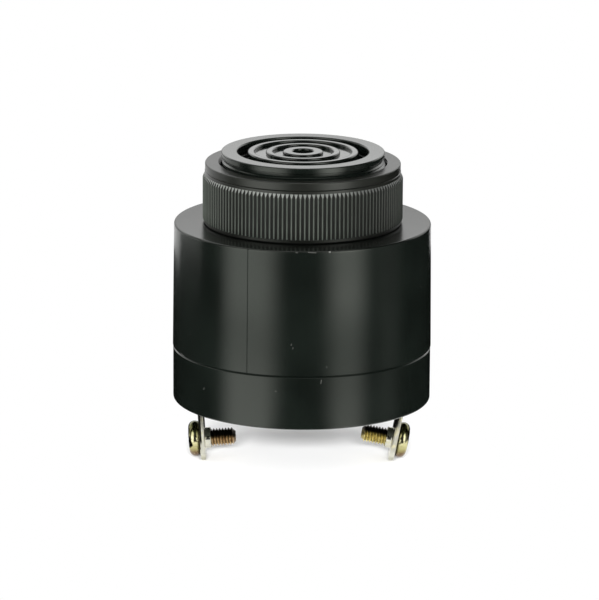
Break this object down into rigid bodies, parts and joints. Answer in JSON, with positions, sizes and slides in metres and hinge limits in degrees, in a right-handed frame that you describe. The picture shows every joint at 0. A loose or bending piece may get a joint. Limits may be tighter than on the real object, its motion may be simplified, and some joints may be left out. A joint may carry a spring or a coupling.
{
  "type": "electronic buzzer",
  "caption": "Panel-mount piezo buzzer: round black housing with a concentric ring grille, knurled ring nut and screw terminals under the base.",
  "frame": {"origin": "centre of the shoulder that bears on the panel", "axes": "+Z along the axis towards the grille, X through the two terminals"},
  "size_m": [0.0432, 0.0432, 0.0532],
  "materials": {
    "black_plastic": "satin black moulding",
    "nut_plastic": "satin black moulding",
    "plated_brass": "tin plated",
    "yellow_zinc": "yellow zinc plated",
    "diaphragm_brass": "satin",
    "silvered_ceramic": "matte silvered",
    "board": "satin",
    "ferrite": "matte",
    "copper": "enamelled",
    "sleeve": "gloss sleeve",
    "component_black": "matte",
    "resistor_coat": "satin lacquer",
    "red_wire": "insulated",
    "black_wire": "insulated"
  },
  "bodies": {
    "body": {"housing": "black_plastic", "base_cap": "black_plastic", "left_terminal": "plated_brass", "right_terminal": "plated_brass", "piezo_diaphragm": "diaphragm_brass", "piezo_ceramic": "silvered_ceramic", "diaphragm_retainer": "black_plastic", "circuit_board": "board", "coil_core": "ferrite", "coil_winding": "copper", "capacitor": "sleeve", "transistor": "component_black", "resistor_a": "resistor_coat", "resistor_b": "resistor_coat", "diode": "component_black", "ceramic_wire": "red_wire", "ground_wire": "black_wire"},
    "ring_nut": {"ring_nut": "nut_plastic"},
    "left_terminal_screw": {"left_terminal_screw": "yellow_zinc"},
    "right_terminal_screw": {"right_terminal_screw": "yellow_zinc"}
  },
  "joints": [
    {"name": "ring_nut_travel", "type": "slide", "parent": "body", "child": "ring_nut", "axis": [0, 0, 1], "range_m": [0, 0.006]},
    {"name": "left_screw_travel", "type": "slide", "parent": "body", "child": "left_terminal_screw", "axis": [-0.9976, 0, -0.0698], "range_m": [0, 0.0035]},
    {"name": "right_screw_travel", "type": "slide", "parent": "body", "child": "right_terminal_screw", "axis": [0.9816, 0, -0.1908], "range_m": [0, 0.0035]}
  ]
}
